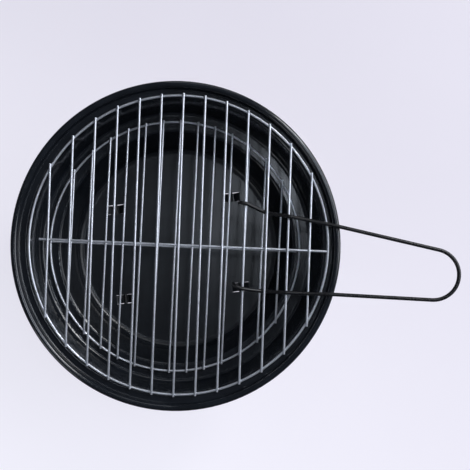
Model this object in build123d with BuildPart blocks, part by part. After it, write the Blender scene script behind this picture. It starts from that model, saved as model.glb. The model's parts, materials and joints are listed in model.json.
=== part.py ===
"""Portable round tabletop charcoal grill.

A deep pressed bowl stands on two folding wire legs. A wire charcoal grate lies on a ledge
half-way down the bowl, and a wire cooking grate lies on a seat just under the rolled rim. A
hairpin handle of bent wire is woven through the outer bars of the cooking grate to lift it.

Frame: +Z up, origin on the bowl's axis in the plane that the open legs stand on. The bars of
both grates run along Y, and the handle points along +X. Units are millimetres.
"""

import os
from math import atan2, cos, degrees, hypot, radians, sin, sqrt

from build123d import *

os.makedirs("parts", exist_ok=True)

# ------------------------------------------------------------------ driving dimensions

# Bowl, pressed from enamelled sheet
rim_diameter = 350.0  # over the rolled rim
bowl_depth = 115.0  # from the top of the rim to the inside of the floor
sheet = 0.8
rim_roll = 7.0  # outside diameter of the rolled rim
rim_roll_turn = 305.0  # how far the edge is rolled round, in degrees
seat_depth = 9.0  # top of the rim to the cooking grate's seat
seat_width = 10.0
upper_wall_draft = 3.5  # how much the upper wall leans in, from the seat to the ledge
ledge_depth = 60.0  # top of the rim to the charcoal grate's ledge
ledge_width = 22.0
lower_wall_draft = 11.0  # how much the lower wall leans in, from the ledge to the floor
floor_bend = 9.0  # bend radii, on the middle of the sheet
ledge_lip_bend = 4.0
ledge_bend = 5.0
seat_lip_bend = 3.0
seat_bend = 2.0

# Grates, welded from plated wire
ring_wire = 2.6
bar_wire = 2.4
bars_per_grate = 13
bar_overhang = 2.0  # how far a bar's end passes the middle of the ring's wire
weld_depth = 0.15  # how far a spot weld sinks one wire into another
wire_end_round = 0.3
cooking_ring_slack = 7.2  # ring's outside to the rim wall, when centred
cooking_edge_gap = 20.3  # outermost bar to the side of the ring
cooking_shift = (3.0, 1.2)  # where the loose grate lies on its seat
cooking_turn = 0.0  # degrees, how far the loose grate is turned on its seat
cooking_cross_gap = (9.3, 0.3)  # cross bar's ends to the inside of the ring
cooking_cross_skew = -0.5  # degrees, the cross bar's hand-set error
charcoal_ring_slack = 10.8  # ring's outside to the foot of the upper wall, when centred
charcoal_edge_gap = 23.6
charcoal_shift = (-2.3, 0.8)
charcoal_turn = -0.8
charcoal_cross_gap = (0.3, 2.5)
charcoal_cross_skew = 0.5

# Lifting handle, one hairpin of thicker wire
handle_wire = 4.0
handle_end_radius = 26.0  # the round end that the hand holds
handle_reach = 119.8  # how far the round end stands out past the rim
handle_rise = 13.0  # how far it stands above the rim
handle_bend = 9.0  # radius of the small bends in the weave
hook_bend = 2.5  # radius of the tips' bends
hook_drop = 5.0  # how far the arms' tips turn down
hook_lean = 1.7  # how far out the turned-down tips lean
far_hook = (4.6, 1.0)  # how far the tip passes its bar, and how far it turns sideways
near_hook = (8.0, 5.0)
tip_play = 1.9  # how far the tips stand clear of the bar that they hook over
# Across the handle, where each arm crosses the last four bars, the rim, and meets the round end
far_arm_places = (47.5, 38.8, 35.5, 31.6, 26.6, 0.8)
near_arm_places = (-42.8, -45.0, -45.2, -45.5, -45.2, -47.5)

# Legs, two bent wires that fold inward
leg_wire = 4.5
stand_height = 66.0  # underside of the floor above the table
leg_splay = 12.0  # how much further out the foot is than the leg's top
leg_crank = 14.0  # outward run that bears on the floor when the leg is open
leg_bend = 5.0
foot_bend = 12.0
fold_gap = 5.0  # between the folded legs' foot bars
leg_turn = 8.0  # the legs and clips are turned from the bars by this angle, in degrees

# Lanced clips in the floor
clip_length = 22.0
clip_width = 11.0
clip_flat = 8.0
clip_corner = 1.5
clip_bend = 1.2
clip_edge_margin = 10.4  # clip's outer corner to the bend at the edge of the floor
shear_gap = 0.4
clip_to_leg_side = 11.0  # clip's edge to the middle of the leg's side run
leg_end_past_clip = 6.0

# Clearances
rest_gap = 0.3  # under a loose piece that rests on another
weave_gap = 0.55  # between the handle and the bars that it is woven through
pivot_gap = 0.1  # round the leg in its clip

# ------------------------------------------------------------------ derived sizes

rim_radius = rim_diameter / 2
floor_underside = stand_height
floor_middle = floor_underside + sheet / 2
rim_top = floor_underside + sheet + bowl_depth

roll_radius = (rim_roll - sheet) / 2
roll_centre = (rim_radius - rim_roll / 2, rim_top - rim_roll / 2)
rim_wall_radius = roll_centre[0] - roll_radius
seat_top = rim_top - seat_depth
seat_lip_radius = rim_wall_radius - seat_width
ledge_top = rim_top - ledge_depth
ledge_foot_radius = seat_lip_radius - upper_wall_draft
ledge_lip_radius = ledge_foot_radius - ledge_width
floor_radius = ledge_lip_radius - lower_wall_draft

cooking_ring_radius = rim_wall_radius - sheet / 2 - cooking_ring_slack - ring_wire / 2
cooking_ring_height = seat_top + rest_gap + ring_wire / 2
charcoal_ring_radius = ledge_foot_radius - sheet / 2 - charcoal_ring_slack - ring_wire / 2
charcoal_ring_height = ledge_top + rest_gap + ring_wire / 2
ring_to_bar = (ring_wire + bar_wire) / 2 - weld_depth
cooking_bar_pitch = 2 * (cooking_ring_radius - cooking_edge_gap) / (bars_per_grate - 1)
charcoal_bar_pitch = 2 * (charcoal_ring_radius - charcoal_edge_gap) / (bars_per_grate - 1)

leg_pivot_height = floor_underside - pivot_gap - leg_wire / 2
leg_drop = leg_pivot_height - leg_wire / 2
leg_offset = leg_crank + leg_splay
leg_reach = hypot(leg_offset, leg_drop)  # pivot to foot bar, straight
leg_pivot_offset = leg_reach + (fold_gap + leg_wire) / 2
leg_fold_angle = 90.0 + degrees(atan2(leg_offset, leg_drop))
clip_corner_radius = floor_radius - floor_bend - clip_edge_margin
clip_outer_edge = sqrt(clip_corner_radius**2 - (leg_pivot_offset + clip_length / 2) ** 2)
leg_clip_spacing = 2 * clip_outer_edge - clip_width
leg_half_width = leg_clip_spacing / 2 + clip_width / 2 + clip_to_leg_side
leg_end_place = leg_clip_spacing / 2 - clip_width / 2 - leg_end_past_clip
clip_drop = leg_wire + 2 * pivot_gap + sheet

base_plane = Plane.XY.rotated((0, 0, leg_turn))


# ------------------------------------------------------------------ helpers


def save(part, name):
    """Label a finished piece and write it as its own STEP file."""
    part.label = name
    export_step(part, f"parts/{name}.step")


def start_of(path):
    """Plane square to the start of a path, to draw a wire's section on."""
    return Plane(origin=path @ 0, z_dir=path % 0)


def upright_plane(origin, turn):
    """Plane with its y up and its x level, turned from +X about Z by that many degrees."""
    angle = radians(turn)
    return Plane(origin=origin, x_dir=(cos(angle), sin(angle), 0), z_dir=(sin(angle), -cos(angle), 0))


# ------------------------------------------------------------------ bowl

with BuildPart() as bowl:
    with BuildSketch(Plane.XZ):
        with BuildLine() as bowl_line:
            FilletPolyline(
                (0, floor_middle),
                (floor_radius, floor_middle),
                (ledge_lip_radius, ledge_top - sheet / 2),
                (ledge_foot_radius, ledge_top - sheet / 2),
                (seat_lip_radius, seat_top - sheet / 2),
                (rim_wall_radius, seat_top - sheet / 2),
                (rim_wall_radius, roll_centre[1]),
                radius=[floor_bend, ledge_lip_bend, ledge_bend, seat_lip_bend, seat_bend],
            )
            CenterArc(roll_centre, roll_radius, 180, -rim_roll_turn)
        trace(line_width=sheet)
    revolve(axis=Axis.Z)

    # Four lanced clips: a strap of the floor between two shear cuts, pressed down under the leg
    for across in (-leg_pivot_offset, leg_pivot_offset):
        for along in (-leg_clip_spacing / 2, leg_clip_spacing / 2):
            with BuildSketch(base_plane.offset(floor_middle)):
                with Locations((across, along)):
                    RectangleRounded(clip_length, clip_width, clip_corner)
            extrude(amount=sheet, both=True, mode=Mode.SUBTRACT)
            clip_middle = base_plane.from_local_coords((across, along, floor_middle))
            with BuildSketch(upright_plane(clip_middle, leg_turn)):
                with BuildLine():
                    FilletPolyline(
                        (-clip_length / 2 - sheet, 0),
                        (-clip_length / 2 + sheet, 0),
                        (-clip_flat / 2, -clip_drop),
                        (clip_flat / 2, -clip_drop),
                        (clip_length / 2 - sheet, 0),
                        (clip_length / 2 + sheet, 0),
                        radius=clip_bend,
                    )
                trace(line_width=sheet)
            extrude(amount=clip_width / 2 - shear_gap, both=True)
save(bowl.part, "bowl")

# ------------------------------------------------------------------ grates


def build_grate(name, ring_radius, ring_height, pitch, shift, turn, cross_gaps, cross_skew):
    """Write one grate's ring, cross bar and parallel bars, centred on shift."""
    middle = (*shift, 0)
    along_bars = upright_plane(middle, turn)
    along_cross_bar = upright_plane(middle, turn + cross_skew + 90)
    bar_height = ring_height + ring_to_bar
    first_place = -(bars_per_grate - 1) / 2 * pitch

    with BuildPart() as ring:
        with BuildSketch(along_bars):
            with Locations((ring_radius, ring_height)):
                Circle(ring_wire / 2)
        revolve(axis=Axis(middle, (0, 0, 1)))
    save(ring.part, f"{name}_ring")

    ring_inside = ring_radius - ring_wire / 2
    with BuildPart() as cross_bar:
        with BuildSketch(along_cross_bar.offset(cross_gaps[0] - ring_inside)):
            with Locations((0, ring_height)):
                Circle(ring_wire / 2)
        extrude(amount=2 * ring_inside - cross_gaps[0] - cross_gaps[1])
        fillet(cross_bar.edges().filter_by(GeomType.CIRCLE), radius=wire_end_round)
    save(cross_bar.part, f"{name}_cross_bar")

    for number in range(bars_per_grate):
        place = first_place + number * pitch
        half_length = sqrt((ring_radius + bar_overhang) ** 2 - place**2)
        with BuildPart() as bar:
            with BuildSketch(along_bars):
                with Locations((place, bar_height)):
                    Circle(bar_wire / 2)
            extrude(amount=half_length, both=True)
            fillet(bar.edges().filter_by(GeomType.CIRCLE), radius=wire_end_round)
        save(bar.part, f"{name}_bar_{number + 1:02d}")


build_grate(
    "cooking",
    cooking_ring_radius,
    cooking_ring_height,
    cooking_bar_pitch,
    cooking_shift,
    cooking_turn,
    cooking_cross_gap,
    cooking_cross_skew,
)
build_grate(
    "charcoal",
    charcoal_ring_radius,
    charcoal_ring_height,
    charcoal_bar_pitch,
    charcoal_shift,
    charcoal_turn,
    charcoal_cross_gap,
    charcoal_cross_skew,
)

# ------------------------------------------------------------------ lifting handle

cooking_bar_height = cooking_ring_height + ring_to_bar
last_bar_place = cooking_shift[0] + (bars_per_grate - 1) / 2 * cooking_bar_pitch
hook_bar, under_bar, third_bar, last_bar = (
    last_bar_place - step * cooking_bar_pitch for step in (3, 2, 1, 0)
)
weave_reach = bar_wire / 2 + weave_gap + handle_wire / 2
weave_slope = atan2(2 * weave_reach, cooking_bar_pitch)
bend_cut = handle_bend * (1 / cos(weave_slope) - 1)  # a bend's corner to its wire
over_height = cooking_bar_height + weave_reach
under_height = cooking_bar_height - weave_reach - bend_cut
tip_height = cooking_bar_height + bar_wire / 2 + tip_play + handle_wire / 2
rim_crossing_height = rim_top + weave_gap + handle_wire / 2
handle_end_height = rim_top + handle_rise
handle_end_place = rim_radius + handle_reach


def arm_points(places, hook):
    """Points of one arm, from its hooked tip over, under and over the bars to the rim.

    places are the arm's places across the handle, and hook says how far the tip passes the
    bar that it hooks over and how far it turns sideways there.
    """
    at_hook, at_under, at_third, at_last, at_rim, at_end = places
    hook_run, hook_turn = hook
    tip = hook_bar - hook_run
    rim_crossing = sqrt(roll_centre[0] ** 2 - at_rim**2)
    return [
        (tip - hook_lean, at_hook + hook_turn, tip_height - hook_drop),
        (tip, at_hook + hook_turn / 2, tip_height),
        (hook_bar, at_hook, tip_height),
        (under_bar, at_under, under_height),
        (third_bar, at_third, over_height),
        (last_bar, at_last, over_height),
        (rim_crossing, at_rim, rim_crossing_height),
        (handle_end_place, at_end, handle_end_height),
    ]


far_arm = arm_points(far_arm_places, far_hook)
near_arm = arm_points(near_arm_places, near_hook)
arm_bends = [hook_bend] + [handle_bend] * (len(far_arm_places) - 1)

with BuildPart() as lifting_handle:
    with BuildLine() as handle_path:
        FilletPolyline(
            *far_arm,
            *reversed(near_arm),
            radius=arm_bends + [handle_end_radius] * 2 + arm_bends[::-1],
        )
    with BuildSketch(start_of(handle_path.line)):
        Circle(handle_wire / 2)
    sweep()
save(lifting_handle.part, "lifting_handle")

# ------------------------------------------------------------------ legs


def build_leg(name, side):
    """Write one U-shaped leg, opened out, on the side given by +1 or -1."""
    pivot = side * leg_pivot_offset
    shoulder = pivot + side * leg_crank
    foot = shoulder + side * leg_splay
    foot_height = leg_wire / 2
    half = [
        (pivot, leg_end_place, leg_pivot_height),
        (pivot, leg_half_width, leg_pivot_height),
        (shoulder, leg_half_width, leg_pivot_height),
        (foot, leg_half_width, foot_height),
    ]
    other_half = [(across, -along, height) for across, along, height in reversed(half)]
    with BuildPart() as leg:
        with BuildLine(base_plane) as leg_path:
            FilletPolyline(
                *half,
                *other_half,
                radius=[leg_bend, leg_bend, foot_bend, foot_bend, leg_bend, leg_bend],
            )
        with BuildSketch(start_of(leg_path.line)):
            Circle(leg_wire / 2)
        sweep()
    save(leg.part, name)


build_leg("leg_right", 1)
build_leg("leg_left", -1)
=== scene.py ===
"""Dress the portable tabletop grill and set it on a pale studio table.

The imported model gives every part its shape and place. This script gives each part its finish,
adds the small welds that hold the two wire grates together, and sets the table, the lamps and
the camera. Lengths are in metres, in the model's own frame.
"""

from __future__ import annotations

import json
import logging
import math
import random
from dataclasses import dataclass, field
from enum import Enum

import bmesh
import bpy
from mathutils import Matrix, Vector


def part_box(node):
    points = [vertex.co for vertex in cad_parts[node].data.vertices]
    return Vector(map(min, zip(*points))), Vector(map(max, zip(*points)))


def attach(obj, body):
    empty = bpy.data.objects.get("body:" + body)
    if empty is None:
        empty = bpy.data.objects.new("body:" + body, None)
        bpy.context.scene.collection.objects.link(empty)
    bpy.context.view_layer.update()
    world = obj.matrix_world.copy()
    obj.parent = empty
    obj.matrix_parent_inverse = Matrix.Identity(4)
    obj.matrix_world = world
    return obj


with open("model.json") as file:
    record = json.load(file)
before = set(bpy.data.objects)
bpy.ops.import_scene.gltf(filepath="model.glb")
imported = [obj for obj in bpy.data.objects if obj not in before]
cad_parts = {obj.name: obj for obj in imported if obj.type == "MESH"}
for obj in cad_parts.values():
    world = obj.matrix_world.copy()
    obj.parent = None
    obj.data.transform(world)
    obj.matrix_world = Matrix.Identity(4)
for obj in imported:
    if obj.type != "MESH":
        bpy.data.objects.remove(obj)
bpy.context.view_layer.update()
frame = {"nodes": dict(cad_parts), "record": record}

LOG = logging.getLogger("grill")

Colour = tuple[float, float, float]
Triple = tuple[float, float, float]
Socket = bpy.types.NodeSocket

MM = 0.001


# ---------------------------------------------------------------------------- options


class Grate(Enum):
    """The two wire grates, by the first word of their parts' names."""

    COOKING = "cooking"
    CHARCOAL = "charcoal"


class Slot(Enum):
    """The record's name for the grates' plated finish."""

    PLATED_WIRE = "plated_wire"


class Run(Enum):
    """Which way the drawing marks of a wire run."""

    ALONG_X = "along_x"
    ALONG_Y = "along_y"
    ROUND = "round"


# ---------------------------------------------------------------------------- shader kit


@dataclass(frozen=True)
class Cloud:
    """One layer of cloudy noise: its cells per metre, its finer layers and their strength."""

    scale: float
    detail: float = 3.0
    rough: float = 0.5


@dataclass(frozen=True)
class Fade:
    """A soft change: as a value goes from low to high, the result goes from first to last."""

    low: float
    high: float
    first: float = 0.0
    last: float = 1.0


class Shader:
    """A node material that is being made, with the few kinds of node that the finishes share."""

    speck_core: float = 0.5

    def __init__(self, name: str) -> None:
        """Start a material with an empty Principled shader.

        Args:
            name: The material's name.
        """
        self.material = bpy.data.materials.new(name)
        self.material.use_nodes = True
        self.tree = self.material.node_tree
        self.surface = self.tree.nodes["Principled BSDF"]
        self.place = self.tree.nodes.new("ShaderNodeTexCoord").outputs["Object"]

    def feed(self, node: bpy.types.Node, values: dict[str | int, object]) -> bpy.types.Node:
        """Set or link a node's inputs.

        Args:
            node: The node.
            values: Its inputs by name or number, each a plain value or another node's output.

        Returns:
            The same node.
        """
        for key, value in values.items():
            if isinstance(value, bpy.types.NodeSocket):
                self.tree.links.new(value, node.inputs[key])
            else:
                node.inputs[key].default_value = value
        return node

    def node(self, kind: str, values: dict[str | int, object], **options: object) -> bpy.types.Node:
        """Add a node.

        Args:
            kind: The node's Blender type.
            values: Its inputs, as in feed.
            **options: Its settings.

        Returns:
            The new node.
        """
        made = self.tree.nodes.new(kind)
        for option, value in options.items():
            setattr(made, option, value)
        return self.feed(made, values)

    def math(self, operation: str, first: object, second: object = 0.0, third: float = 0.0) -> Socket:
        """Work out a value from one, two or three others.

        Args:
            operation: The Math node's operation.
            first: A value or an output.
            second: A value or an output.
            third: A value, for the operations that take three.

        Returns:
            The result.
        """
        values = {0: first, 1: second, 2: third}
        return self.node("ShaderNodeMath", values, operation=operation).outputs[0]

    def stretched(self, scale: Triple) -> Socket:
        """Return the place on the part, with each axis scaled."""
        return self.node("ShaderNodeMapping", {"Vector": self.place, "Scale": scale}).outputs[0]

    def axes(self) -> list[Socket]:
        """Return the place on the part as three outputs, x, y and z."""
        return list(self.node("ShaderNodeSeparateXYZ", {0: self.place}).outputs)

    def radius(self) -> Socket:
        """Measure the distance from the grill's upright axis.

        Returns:
            The distance.
        """
        flat = self.node("ShaderNodeVectorMath", {0: self.place, 1: (1, 1, 0)}, operation="MULTIPLY")
        length = self.node("ShaderNodeVectorMath", {0: flat.outputs[0]}, operation="LENGTH")
        return length.outputs["Value"]

    def unrolled(self, across: float, around: float) -> Socket:
        """Place on the part as distance from the axis, angle round it and height.

        Args:
            across: Scale of the distance and of the height.
            around: Scale of the angle, for each radian.

        Returns:
            The vector, for a texture that runs round the axis.
        """
        x, y, z = self.axes()
        angle = self.math("ARCTAN2", y, x)
        parts = {
            0: self.math("MULTIPLY", self.radius(), across),
            1: self.math("MULTIPLY", angle, around),
            2: self.math("MULTIPLY", z, across),
        }
        return self.node("ShaderNodeCombineXYZ", parts).outputs[0]

    def noise(self, vector: Socket, cloud: Cloud) -> Socket:
        """Cloudy noise.

        Args:
            vector: Where the noise is read.
            cloud: Its settings, with the scale in cells per metre of that vector.

        Returns:
            The noise, about 0.5, from 0 to 1.
        """
        values = {
            "Vector": vector,
            "Scale": cloud.scale,
            "Detail": cloud.detail,
            "Roughness": cloud.rough,
        }
        return self.node("ShaderNodeTexNoise", values).outputs["Fac"]

    def specks(self, scale: float, size: float) -> Socket:
        """Scattered round specks.

        Args:
            scale: Cells per metre, each with one speck.
            size: The speck's radius, as a share of its cell.

        Returns:
            1 in the speck, 0 outside it.
        """
        cells = self.node("ShaderNodeTexVoronoi", {"Vector": self.place, "Scale": scale})
        return self.fade(cells.outputs["Distance"], Fade(size, size * self.speck_core))

    def fade(self, value: Socket, fade: Fade) -> Socket:
        """Carry a value from one range to another, softly and without passing its ends.

        Args:
            value: The value.
            fade: The two ranges.

        Returns:
            The result.
        """
        values = {0: value, 1: fade.low, 2: fade.high, 3: fade.first, 4: fade.last}
        kind = "SMOOTHSTEP"
        return self.node("ShaderNodeMapRange", values, interpolation_type=kind).outputs[0]

    def blend(self, share: Socket, first: object, second: object) -> Socket:
        """Mix two colours.

        Args:
            share: How much of the second.
            first: A colour or an output.
            second: A colour or an output.

        Returns:
            The mixed colour.
        """
        mixer = self.tree.nodes.new("ShaderNodeMix")
        mixer.data_type = "RGBA"
        sides = {0: share, 6: self.opaque(first), 7: self.opaque(second)}
        return self.feed(mixer, sides).outputs[2]

    @staticmethod
    def opaque(colour: object) -> object:
        """Return a plain colour with its alpha added, and an output as it is."""
        return (*colour, 1.0) if isinstance(colour, tuple) else colour

    def bump(self, height: Socket, depth: float, under: Socket | None = None) -> Socket:
        """Turn a height into a bent normal.

        Args:
            height: The height, from 0 to 1.
            depth: What a height of 1 stands for.
            under: A normal to add this bump to.

        Returns:
            The normal.
        """
        values = {"Strength": 1.0, "Distance": depth, "Height": height}
        if under is not None:
            values["Normal"] = under
        return self.node("ShaderNodeBump", values).outputs[0]


# ---------------------------------------------------------------------------- finishes


@dataclass(frozen=True)
class GlassEnamel:
    """Glossy black vitreous enamel, fired on pressed steel."""

    floor_height: float
    ledge_height: float
    seat_height: float
    deep: Colour = (0.0065, 0.0082, 0.0115)
    bloom: Colour = (0.0115, 0.0142, 0.0190)
    dust: Colour = (0.20, 0.21, 0.22)
    bloom_cloud: Cloud = Cloud(38.0, 4.0, 0.55)
    bloom_fade: Fade = Fade(0.35, 0.70)
    dust_cloud: Cloud = Cloud(90.0, 1.0)
    dust_fade: Fade = Fade(0.60, 0.66, 0.0, 0.7)
    dust_scale: float = 420.0
    dust_size: float = 0.09
    dust_gloss: float = 0.3
    wall_gloss: float = 0.13
    floor_gloss: float = 0.30
    ledge_gloss: float = 0.20
    floor_reach: float = 8.0 * MM
    ledge_reach: float = 2.5 * MM
    seat_reach: float = 2.0 * MM
    smear_stretch: Triple = (1.0, 1.0, 0.4)
    smear_cloud: Cloud = Cloud(24.0, 5.0, 0.6)
    smear_fade: Fade = Fade(0.30, 0.75, -0.02, 0.04)
    peel_cloud: Cloud = Cloud(260.0, 2.0, 0.4)
    peel_depth: float = 0.0025 * MM
    draw_line_pitch: tuple[float, float] = (900.0, 1.2)
    draw_line_cloud: Cloud = Cloud(1.0, 2.0, 0.6)
    draw_line_depth: float = 0.0015 * MM
    pit_scale: float = 150.0
    pit_size: float = 0.05
    pit_depth: float = 0.010 * MM
    glass_index: float = 1.55

    def make(self) -> bpy.types.Material:
        """Make the enamel, duller on the flat floor and ledges and glossy on the walls.

        Returns:
            The finish.
        """
        shader = Shader("black_enamel")
        height = shader.axes()[2]
        above = self.floor_height + self.floor_reach
        over_floor = shader.fade(height, Fade(self.floor_height, above, 1.0, 0.0))
        dust = self.dust_specks(shader)
        tint = shader.fade(shader.noise(shader.place, self.bloom_cloud), self.bloom_fade)
        colour = shader.blend(dust, shader.blend(tint, self.deep, self.bloom), self.dust)
        rough = self.roughness(shader, height, over_floor, dust)
        normal = self.relief(shader, over_floor)
        shader.feed(shader.surface, {"Base Color": colour, "Roughness": rough, "Normal": normal})
        shader.feed(shader.surface, {"IOR": self.glass_index})
        return shader.material

    def dust_specks(self, shader: Shader) -> Socket:
        """Return where a few specks of dust lie."""
        chosen = shader.fade(shader.noise(shader.place, self.dust_cloud), self.dust_fade)
        return shader.math("MULTIPLY", shader.specks(self.dust_scale, self.dust_size), chosen)

    def roughness(self, shader: Shader, height: Socket, over_floor: Socket, dust: Socket) -> Socket:
        """Work out how dull the enamel is, place by place.

        Args:
            shader: The material.
            height: The height on the part.
            over_floor: 1 on the floor, 0 above it.
            dust: Where the dust lies.

        Returns:
            The roughness.
        """
        near_ledge = self.band(shader, height, self.ledge_height, self.ledge_reach)
        near_seat = self.band(shader, height, self.seat_height, self.seat_reach)
        flats = shader.math("MAXIMUM", near_ledge, near_seat)
        floor_step = self.floor_gloss - self.wall_gloss
        gloss = shader.math("MULTIPLY_ADD", over_floor, floor_step, self.wall_gloss)
        satin = shader.math("MULTIPLY", flats, self.ledge_gloss - self.wall_gloss)
        streaks = shader.noise(shader.stretched(self.smear_stretch), self.smear_cloud)
        smears = shader.fade(streaks, self.smear_fade)
        rough = shader.math("ADD", shader.math("ADD", gloss, satin), smears)
        return shader.math("ADD", rough, shader.math("MULTIPLY", dust, self.dust_gloss))

    def relief(self, shader: Shader, over_floor: Socket) -> Socket:
        """Work out the enamel's fine relief.

        Args:
            shader: The material.
            over_floor: 1 on the floor, 0 above it.

        Returns:
            The normal, with the peel, the press's drawing lines on the walls and a few pits.
        """
        normal = shader.bump(shader.noise(shader.place, self.peel_cloud), self.peel_depth)
        lines = shader.noise(shader.unrolled(*self.draw_line_pitch), self.draw_line_cloud)
        lines = shader.math("MULTIPLY", lines, shader.math("SUBTRACT", 1.0, over_floor))
        normal = shader.bump(lines, self.draw_line_depth, normal)
        pits = shader.specks(self.pit_scale, self.pit_size)
        return shader.bump(shader.math("SUBTRACT", 1.0, pits), self.pit_depth, normal)

    @staticmethod
    def band(shader: Shader, height: Socket, middle: float, reach: float) -> Socket:
        """Pick out the part near one height.

        Args:
            shader: The material.
            height: The height on the part.
            middle: The height to pick.
            reach: How far above and below it fades out.

        Returns:
            1 at that height, 0 away from it.
        """
        away = shader.math("ABSOLUTE", shader.math("SUBTRACT", height, middle))
        return shader.fade(away, Fade(reach, 0.0))


@dataclass(frozen=True)
class BrightPlate:
    """Bright plating on drawn steel wire."""

    run: Run
    clean: Colour = (0.76, 0.78, 0.84)
    dull: Colour = (0.55, 0.57, 0.61)
    metal_share: float = 0.7
    patch_cloud: Cloud = Cloud(70.0, 4.0, 0.6)
    patch_fade: Fade = Fade(0.42, 0.78)
    patch_gloss: Fade = Fade(0.5, 0.8, 0.0, 0.1)
    gloss: float = 0.30
    gloss_spread: float = 0.10
    line_cloud: Cloud = Cloud(1.0, 3.0, 0.6)
    line_marks: Fade = Fade(0.3, 0.7, -0.5, 0.5)
    line_depth: float = 0.008 * MM
    lines_across: float = 2400.0
    lines_along: float = 60.0
    lines_around: float = 9.0
    grain_cloud: Cloud = Cloud(2600.0, 2.0)
    grain_depth: float = 0.005 * MM

    def make(self) -> bpy.types.Material:
        """Make the plating, with fine lines along the wire and duller patches.

        Returns:
            The finish.
        """
        shader = Shader(f"bright_plate_{self.run.value}")
        patches = shader.noise(shader.place, self.patch_cloud)
        colour = shader.blend(shader.fade(patches, self.patch_fade), self.clean, self.dull)
        lines = shader.noise(self.lengthways(shader), self.line_cloud)
        marks = shader.fade(lines, self.line_marks)
        rough = shader.math("MULTIPLY_ADD", marks, self.gloss_spread, self.gloss)
        rough = shader.math("ADD", rough, shader.fade(patches, self.patch_gloss))
        normal = shader.bump(lines, self.line_depth)
        grain = shader.noise(shader.place, self.grain_cloud)
        normal = shader.bump(grain, self.grain_depth, normal)
        shader.feed(shader.surface, {"Base Color": colour, "Roughness": rough, "Normal": normal})
        shader.feed(shader.surface, {"Metallic": self.metal_share})
        return shader.material

    def lengthways(self, shader: Shader) -> Socket:
        """Draw a place out along the wire.

        Args:
            shader: The material.

        Returns:
            The vector, for a texture that runs along the wire.
        """
        if self.run is Run.ROUND:
            return shader.unrolled(self.lines_across, self.lines_around)
        fine, long = self.lines_across, self.lines_along
        return shader.stretched((long, fine, fine) if self.run is Run.ALONG_X else (fine, long, fine))


@dataclass(frozen=True)
class SatinLacquer:
    """Satin black lacquer on thick steel wire."""

    name: str
    run: Run
    black: Colour = (0.007, 0.007, 0.008)
    worn: Colour = (0.035, 0.035, 0.038)
    gloss: float = 0.30
    rubs_across: float = 900.0
    rubs_along: float = 50.0
    rub_cloud: Cloud = Cloud(1.0, 4.0, 0.65)
    rub_fade: Fade = Fade(0.52, 0.80)
    rub_gloss: Fade = Fade(0.5, 0.8, 0.0, 0.12)
    rub_depth: float = 0.02 * MM
    gloss_cloud: Cloud = Cloud(120.0, 3.0)
    gloss_fade: Fade = Fade(0.3, 0.7, -0.05, 0.07)
    peel_cloud: Cloud = Cloud(1500.0, 2.0)
    peel_depth: float = 0.02 * MM
    lacquer_index: float = 1.45

    def make(self) -> bpy.types.Material:
        """Make the lacquer, with a fine texture and faint rubbed lines along the wire.

        Returns:
            The finish.
        """
        shader = Shader(self.name)
        rubs = shader.noise(self.lengthways(shader), self.rub_cloud)
        colour = shader.blend(shader.fade(rubs, self.rub_fade), self.black, self.worn)
        clouds = shader.noise(shader.place, self.gloss_cloud)
        rough = shader.math("ADD", shader.fade(clouds, self.gloss_fade), self.gloss)
        rough = shader.math("ADD", rough, shader.fade(rubs, self.rub_gloss))
        normal = shader.bump(shader.noise(shader.place, self.peel_cloud), self.peel_depth)
        normal = shader.bump(rubs, self.rub_depth, normal)
        shader.feed(shader.surface, {"Base Color": colour, "Roughness": rough, "Normal": normal})
        shader.feed(shader.surface, {"IOR": self.lacquer_index})
        return shader.material

    def lengthways(self, shader: Shader) -> Socket:
        """Return a place that is drawn out along the wire."""
        fine, long = self.rubs_across, self.rubs_along
        return shader.stretched((long, fine, fine) if self.run is Run.ALONG_X else (fine, long, fine))


@dataclass(frozen=True)
class WeldMetal:
    """Steel that a weld squeezed out and the plating covered."""

    clean: Colour = (0.52, 0.52, 0.54)
    scorched: Colour = (0.20, 0.18, 0.17)
    metal_share: float = 0.9
    stain_cloud: Cloud = Cloud(900.0, 4.0, 0.65)
    stain_fade: Fade = Fade(0.45, 0.75)
    stain_gloss: Fade = Fade(0.3, 0.8, 0.28, 0.55)
    lump_cloud: Cloud = Cloud(1800.0, 3.0)
    lump_depth: float = 0.12 * MM

    def make(self) -> bpy.types.Material:
        """Make the weld's rough, partly darkened plating.

        Returns:
            The finish.
        """
        shader = Shader("weld_metal")
        stain = shader.noise(shader.place, self.stain_cloud)
        colour = shader.blend(shader.fade(stain, self.stain_fade), self.clean, self.scorched)
        rough = shader.fade(stain, self.stain_gloss)
        normal = shader.bump(shader.noise(shader.place, self.lump_cloud), self.lump_depth)
        shader.feed(shader.surface, {"Base Color": colour, "Roughness": rough, "Normal": normal})
        shader.feed(shader.surface, {"Metallic": self.metal_share})
        return shader.material


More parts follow.
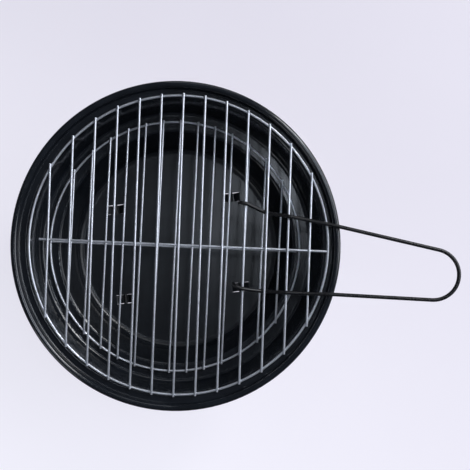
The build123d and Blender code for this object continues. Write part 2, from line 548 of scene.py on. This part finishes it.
@dataclass(frozen=True)
class PaleTable:
    """The smooth pale surface that the grill stands on, which glows with painted light."""

    cloth: Colour = (0.27, 0.255, 0.275)
    # Painted light: the colours of the table's glow, dimmer at the far side and brighter at the near
    # side.
    far_painted_light: Colour = (0.58, 0.565, 0.65)
    near_painted_light: Colour = (0.91, 0.905, 1.0)
    # Painted light: how strongly the table glows, for everything else and for the camera.
    own_light: float = 0.1
    seen_light: float = 0.88
    painted_light_slant: float = 0.6
    painted_light_fade: Fade = Fade(-0.60, 0.60)
    mottle_cloud: Cloud = Cloud(3.0, 4.0)
    mottle_fade: Fade = Fade(0.2, 0.8, -0.03, 0.03)
    gloss: float = 0.65
    grain_cloud: Cloud = Cloud(900.0, 2.0)
    grain_depth: float = 0.02 * MM

    def make(self) -> bpy.types.Material:
        """Make the table's finish, with painted light: it glows, a little brighter towards the near
        side.

        Returns:
            The finish.
        """
        shader = Shader("pale_table")
        x, y, _ = shader.axes()
        # Painted light: the glow grows brighter towards the near side and a little to the left, as if a
        # lamp lit it from there.
        away = shader.math("ADD", y, shader.math("MULTIPLY", x, self.painted_light_slant))
        share = shader.fade(shader.math("MULTIPLY", away, -1.0), self.painted_light_fade)
        mottle = shader.fade(shader.noise(shader.place, self.mottle_cloud), self.mottle_fade)
        colour = shader.blend(shader.math("ADD", share, mottle), self.far_painted_light, self.near_painted_light)
        # Painted light: the table glows strongly for the camera, which fills in the shadows, and only
        # faintly for everything else.
        seen = shader.tree.nodes.new("ShaderNodeLightPath").outputs["Is Camera Ray"]
        glow = shader.math("MULTIPLY_ADD", seen, self.seen_light - self.own_light, self.own_light)
        normal = shader.bump(shader.noise(shader.place, self.grain_cloud), self.grain_depth)
        shader.feed(shader.surface, {"Base Color": (*self.cloth, 1.0), "Roughness": self.gloss})
        shader.feed(shader.surface, {"Emission Color": colour, "Emission Strength": glow})
        shader.feed(shader.surface, {"Normal": normal})
        return shader.material


# ---------------------------------------------------------------------------- sub-assemblies


def dress(node: str, finish: bpy.types.Material) -> None:
    """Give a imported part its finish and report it.

    Args:
        node: The part's name.
        finish: The finish, for all its slots.
    """
    part = frame["nodes"][node]
    for slot in part.material_slots:
        slot.material = finish
    LOG.info("dressed %s with %s", node, finish.name)


@dataclass
class Bowl:
    """The pressed and enamelled bowl, with its rolled rim and lanced clips."""

    node: str = "bowl"
    floor_mount: str = "coal_floor"
    rest_gap: float = 0.3 * MM

    def finish(self) -> bpy.types.Material:
        """Make the enamel, told where the bowl's flats lie.

        Returns:
            The finish.
        """
        mounts = {mount["name"]: mount["pos_m"] for mount in frame["record"]["mounts"]}
        return GlassEnamel(
            floor_height=mounts[self.floor_mount][2],
            ledge_height=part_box("charcoal_ring")[0][2] - self.rest_gap,
            seat_height=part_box("cooking_ring")[0][2] - self.rest_gap,
        ).make()

    def build(self) -> None:
        """Dress the bowl."""
        dress(self.node, self.finish())


@dataclass
class WireGrate:
    """One round grate of parallel bars on a ring and a cross bar, with its welds."""

    kind: Grate
    bars: int = 13
    end_reach: float = 0.4 * MM
    nugget: Triple = (1.75 * MM, 2.0 * MM, 0.85 * MM)
    nugget_sink: float = 0.05 * MM
    nugget_growth: tuple[float, float] = (0.88, 1.08)
    nugget_detail: int = 2
    nugget_unevenness: float = 0.22
    nugget_ripple: float = 3.1
    nugget_waist: float = 0.25
    ring_joint_angle: float = 200.0
    ring_joint_length: float = 3.4 * MM
    ring_joint_sink: float = 0.06 * MM
    ring_joint_swell: float = 0.28 * MM
    ring_joint_fullness: float = 0.6
    ring_joint_ridge: float = 0.05
    ring_joint_ripple: float = 9.0
    ring_joint_steps: int = 12
    ring_joint_sides: int = 28
    seed: int = 7
    body: str = field(init=False)

    def __post_init__(self) -> None:
        """Name the body that the grate moves with."""
        self.body = f"{self.kind.value}_grate"

    def node(self, part: str) -> str:
        """Return the full name of one of the grate's parts."""
        return f"{self.kind.value}_{part}"

    def bar_names(self) -> list[str]:
        """Return the names of the parallel bars, from left to right."""
        return [self.node(f"bar_{number + 1:02d}") for number in range(self.bars)]

    def ends(self, node: str, axis: int) -> tuple[Vector, Vector]:
        """Find the middles of a straight wire's two ends.

        Args:
            node: The wire's name.
            axis: The axis that it mainly runs along, 0 for x or 1 for y.

        Returns:
            The middle of its low end and of its high end.
        """
        points = [vertex.co for vertex in frame["nodes"][node].data.vertices]
        low = min(point[axis] for point in points) + self.end_reach
        high = max(point[axis] for point in points) - self.end_reach
        low_end = [point for point in points if point[axis] < low]
        high_end = [point for point in points if point[axis] > high]
        return self.middle(low_end), self.middle(high_end)

    @staticmethod
    def middle(points: list[Vector]) -> Vector:
        """Return the middle of the box round some points."""
        return Vector([(min(p[i] for p in points) + max(p[i] for p in points)) / 2 for i in range(3)])

    def ring(self) -> tuple[Vector, float, float]:
        """Measure the grate's ring.

        Returns:
            Its centre, its radius to the middle of the wire, and the wire's radius.
        """
        low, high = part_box(self.node("ring"))
        wire = (high[2] - low[2]) / 2
        centre = (Vector(low) + Vector(high)) / 2
        return centre, (high[0] - low[0]) / 2 - wire, wire

    def weld_places(self) -> list[tuple[Vector, float]]:
        """List where the bars lie on the ring and on the cross bar.

        Returns:
            Each weld's place, at the height where the wires meet, and the turn of its bar.
        """
        centre, radius, wire = self.ring()
        meeting = centre.z + wire - self.nugget_sink
        cross_low, cross_high = self.ends(self.node("cross_bar"), 0)
        slope = (cross_high.y - cross_low.y) / (cross_high.x - cross_low.x)
        places = []
        for name in self.bar_names():
            low, high = self.ends(name, 1)
            turn = math.atan2(low.x - high.x, high.y - low.y)
            way = (high - low).normalized()
            off = Vector((low.x - centre.x, low.y - centre.y, 0))
            along = -off.dot(way)
            half = math.sqrt(max(radius**2 - (off.length_squared - along**2), 0.0))
            for step in (along - half, along + half):
                point = low + way * step
                places.append((Vector((point.x, point.y, meeting)), turn))
            middle_x = (low.x + high.x) / 2
            crossing_y = cross_low.y + slope * (middle_x - cross_low.x)
            share = (crossing_y - low.y) / (high.y - low.y)
            places.append((Vector((low.x + share * (high.x - low.x), crossing_y, meeting)), turn))
        return places

    def build_welds(self, finish: bpy.types.Material) -> bpy.types.Object:
        """Make the small uneven lumps of squeezed-out metal, one at each crossing.

        Args:
            finish: The welds' finish.

        Returns:
            The welds, as one piece.
        """
        chance = random.Random(self.seed + len(self.kind.value))
        mesh = bmesh.new()
        for place, turn in self.weld_places():
            grow = Matrix.Diagonal((*(Vector(self.nugget) * chance.uniform(*self.nugget_growth)), 1.0))
            shape = Matrix.Translation(place) @ Matrix.Rotation(turn, 4, "Z") @ grow
            detail = self.nugget_detail
            lump = bmesh.ops.create_icosphere(mesh, subdivisions=detail, radius=1.0)["verts"]
            phase = [chance.uniform(0, math.tau) for _ in range(3)]
            for vertex in lump:
                point = vertex.co
                wobble = sum(math.sin(self.nugget_ripple * point[i] + phase[i]) for i in range(3)) / 3
                waist = 1.0 - self.nugget_waist * abs(point.x * point.y)
                vertex.co = point * (waist + self.nugget_unevenness * wobble)
            bmesh.ops.transform(mesh, matrix=shape, verts=lump)
        return self.piece("welds", mesh, finish)

    def build_ring_joint(self, finish: bpy.types.Material) -> bpy.types.Object:
        """Make the swelling where the ring's two ends are butt welded.

        Args:
            finish: The joint's finish.

        Returns:
            The joint, as one piece.
        """
        centre, radius, wire = self.ring()
        mesh = bmesh.new()
        steps, sides = self.ring_joint_steps, self.ring_joint_sides
        start = math.radians(self.ring_joint_angle)
        rows = []
        for step in range(steps + 1):
            share = step / steps
            angle = start + (share - 0.5) * self.ring_joint_length / radius
            fullness = math.sin(math.pi * share) ** self.ring_joint_fullness
            swell = wire - self.ring_joint_sink + self.ring_joint_swell * fullness
            swell *= 1.0 + self.ring_joint_ridge * math.sin(self.ring_joint_ripple * share)
            row = []
            for side in range(sides):
                lean = math.tau * side / sides
                out = radius + swell * math.cos(lean)
                offset = Vector((out * math.cos(angle), out * math.sin(angle), swell * math.sin(lean)))
                row.append(mesh.verts.new(centre + offset))
            rows.append(row)
        for row, after in zip(rows, rows[1:]):
            for side in range(sides):
                other = (side + 1) % sides
                mesh.faces.new((row[side], row[other], after[other], after[side]))
        mesh.faces.new(rows[0])
        mesh.faces.new(tuple(reversed(rows[-1])))
        return self.piece("ring_joint", mesh, finish)

    def piece(self, name: str, mesh: bmesh.types.BMesh, finish: bpy.types.Material) -> bpy.types.Object:
        """Turn a finished mesh into a piece that moves with the grate.

        Args:
            name: The piece's own name.
            mesh: Its mesh, which is freed.
            finish: Its finish.

        Returns:
            The piece.
        """
        bmesh.ops.recalc_face_normals(mesh, faces=mesh.faces)
        for face in mesh.faces:
            face.smooth = True
        data = bpy.data.meshes.new(self.node(name))
        mesh.to_mesh(data)
        mesh.free()
        data.materials.append(finish)
        made = bpy.data.objects.new(self.node(name), data)
        bpy.context.scene.collection.objects.link(made)
        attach(made, self.body)
        LOG.info("built %s, %d faces", made.name, len(data.polygons))
        return made

    def build(self, plates: dict[Run, bpy.types.Material], weld: bpy.types.Material) -> None:
        """Dress the wires and add the welds.

        Args:
            plates: The plating for each way that a wire can run.
            weld: The welds' finish.
        """
        dress(self.node("ring"), plates[Run.ROUND])
        dress(self.node("cross_bar"), plates[Run.ALONG_X])
        for name in self.bar_names():
            dress(name, plates[Run.ALONG_Y])
        self.build_welds(weld)
        self.build_ring_joint(weld)


@dataclass
class LiftingHandle:
    """The hairpin handle of thick black wire."""

    node: str = "lifting_handle"

    def build(self) -> None:
        """Dress the handle."""
        dress(self.node, SatinLacquer("black_handle_lacquer", Run.ALONG_X).make())


@dataclass
class FoldingLegs:
    """The two folding wire legs."""

    nodes: tuple[str, ...] = ("leg_right", "leg_left")

    def build(self) -> None:
        """Dress both legs."""
        finish = SatinLacquer("black_leg_lacquer", Run.ALONG_Y).make()
        for node in self.nodes:
            dress(node, finish)


# ---------------------------------------------------------------------------- studio


@dataclass(frozen=True)
class Softbox:
    """A square lamp behind cloth."""

    name: str
    place: Triple
    width: float
    depth: float
    power: float
    aim: Triple = (0.0, 0.0, 0.1)
    colour: Colour = (1.0, 1.0, 1.0)

    def hang(self) -> None:
        """Hang the lamp and turn it to what it lights."""
        lamp = bpy.data.lights.new(self.name, "AREA")
        lamp.shape = "RECTANGLE"
        lamp.size = self.width
        lamp.size_y = self.depth
        lamp.energy = self.power
        lamp.color = self.colour
        holder = bpy.data.objects.new(self.name, lamp)
        holder.location = self.place
        way = Vector(self.aim) - Vector(self.place)
        holder.rotation_euler = way.to_track_quat("-Z", "Y").to_euler()
        bpy.context.scene.collection.objects.link(holder)
        LOG.info("hung %s", self.name)


@dataclass
class Studio:
    """The table, the lamps and the dim room round them."""

    table_size: float = 8.0
    table_squares: int = 8
    room_colour: Colour = (0.74, 0.82, 1.0)
    room_light: float = 0.09
    lamps: tuple[Softbox, ...] = (
        Softbox(
            "side_window",
            place=(1.25, 0.50, 1.00),
            width=1.3,
            depth=1.1,
            power=17.0,
            colour=(0.88, 0.92, 1.0),
        ),
        Softbox(
            "corner_lamp",
            place=(0.85, 1.00, 1.25),
            width=0.35,
            depth=0.35,
            power=8.0,
        ),
        Softbox(
            "overhead_strip",
            place=(0.21, 0.18, 1.55),
            aim=(0.1, 0.0, 0.1),
            width=0.16,
            depth=0.22,
            power=1.4,
            colour=(0.80, 0.88, 1.0),
        ),
        Softbox(
            "low_fill",
            place=(-0.9, -0.8, 0.75),
            width=0.5,
            depth=0.4,
            power=1.5,
            colour=(0.9, 0.94, 1.0),
        ),
        Softbox(
            "far_card",
            place=(0.15, 1.30, 0.90),
            width=0.6,
            depth=0.4,
            power=1.2,
            colour=(0.9, 0.94, 1.0),
        ),
    )

    def build_table(self) -> None:
        """Lay the table under the grill."""
        mesh = bmesh.new()
        squares = self.table_squares
        bmesh.ops.create_grid(mesh, x_segments=squares, y_segments=squares, size=self.table_size / 2)
        data = bpy.data.meshes.new("table_top")
        mesh.to_mesh(data)
        mesh.free()
        data.materials.append(PaleTable().make())
        table = bpy.data.objects.new("table_top", data)
        bpy.context.scene.collection.objects.link(table)

    def build_room(self) -> None:
        """Set the room's dim light."""
        world = bpy.data.worlds.new("room")
        world.use_nodes = True
        background = world.node_tree.nodes["Background"]
        background.inputs["Color"].default_value = (*self.room_colour, 1.0)
        background.inputs["Strength"].default_value = self.room_light
        bpy.context.scene.world = world

    def build(self) -> None:
        """Lay the table, hang the lamps and dim the room, and show the colours as they are."""
        bpy.context.scene.view_settings.view_transform = "Standard"
        self.build_table()
        self.build_room()
        for lamp in self.lamps:
            lamp.hang()


@dataclass
class Camera:
    """The camera, nearly over the middle of the bowl and looking straight down."""

    over_rim: float = 0.690
    aside: tuple[float, float] = (0.0212, -0.0162)
    turn: float = 2.0
    sensor: float = 36.0
    lens: float = 50.10
    shift: tuple[float, float] = (0.0851, 0.0574)

    def build(self) -> None:
        """Set the camera up over the bowl."""
        lens = bpy.data.cameras.new("camera")
        lens.sensor_width = self.sensor
        lens.lens = self.lens
        lens.shift_x, lens.shift_y = self.shift
        holder = bpy.data.objects.new("camera", lens)
        rim_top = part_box("bowl")[1][2]
        holder.location = (*self.aside, rim_top + self.over_rim)
        holder.rotation_euler = (0.0, 0.0, math.radians(self.turn))
        bpy.context.scene.collection.objects.link(holder)
        bpy.context.scene.camera = holder


# ---------------------------------------------------------------------------- making it


def main() -> None:
    """Build the studio and dress the grill, part by part."""
    logging.basicConfig(level=logging.INFO, format="%(name)s: %(message)s")
    Camera().build()
    Studio().build()
    Bowl().build()
    plates = {run: BrightPlate(run).make() for run in Run}
    weld = WeldMetal().make()
    for kind in Grate:
        WireGrate(kind).build(plates, weld)
    LiftingHandle().build()
    FoldingLegs().build()


if __name__ == "__main__":
    main()
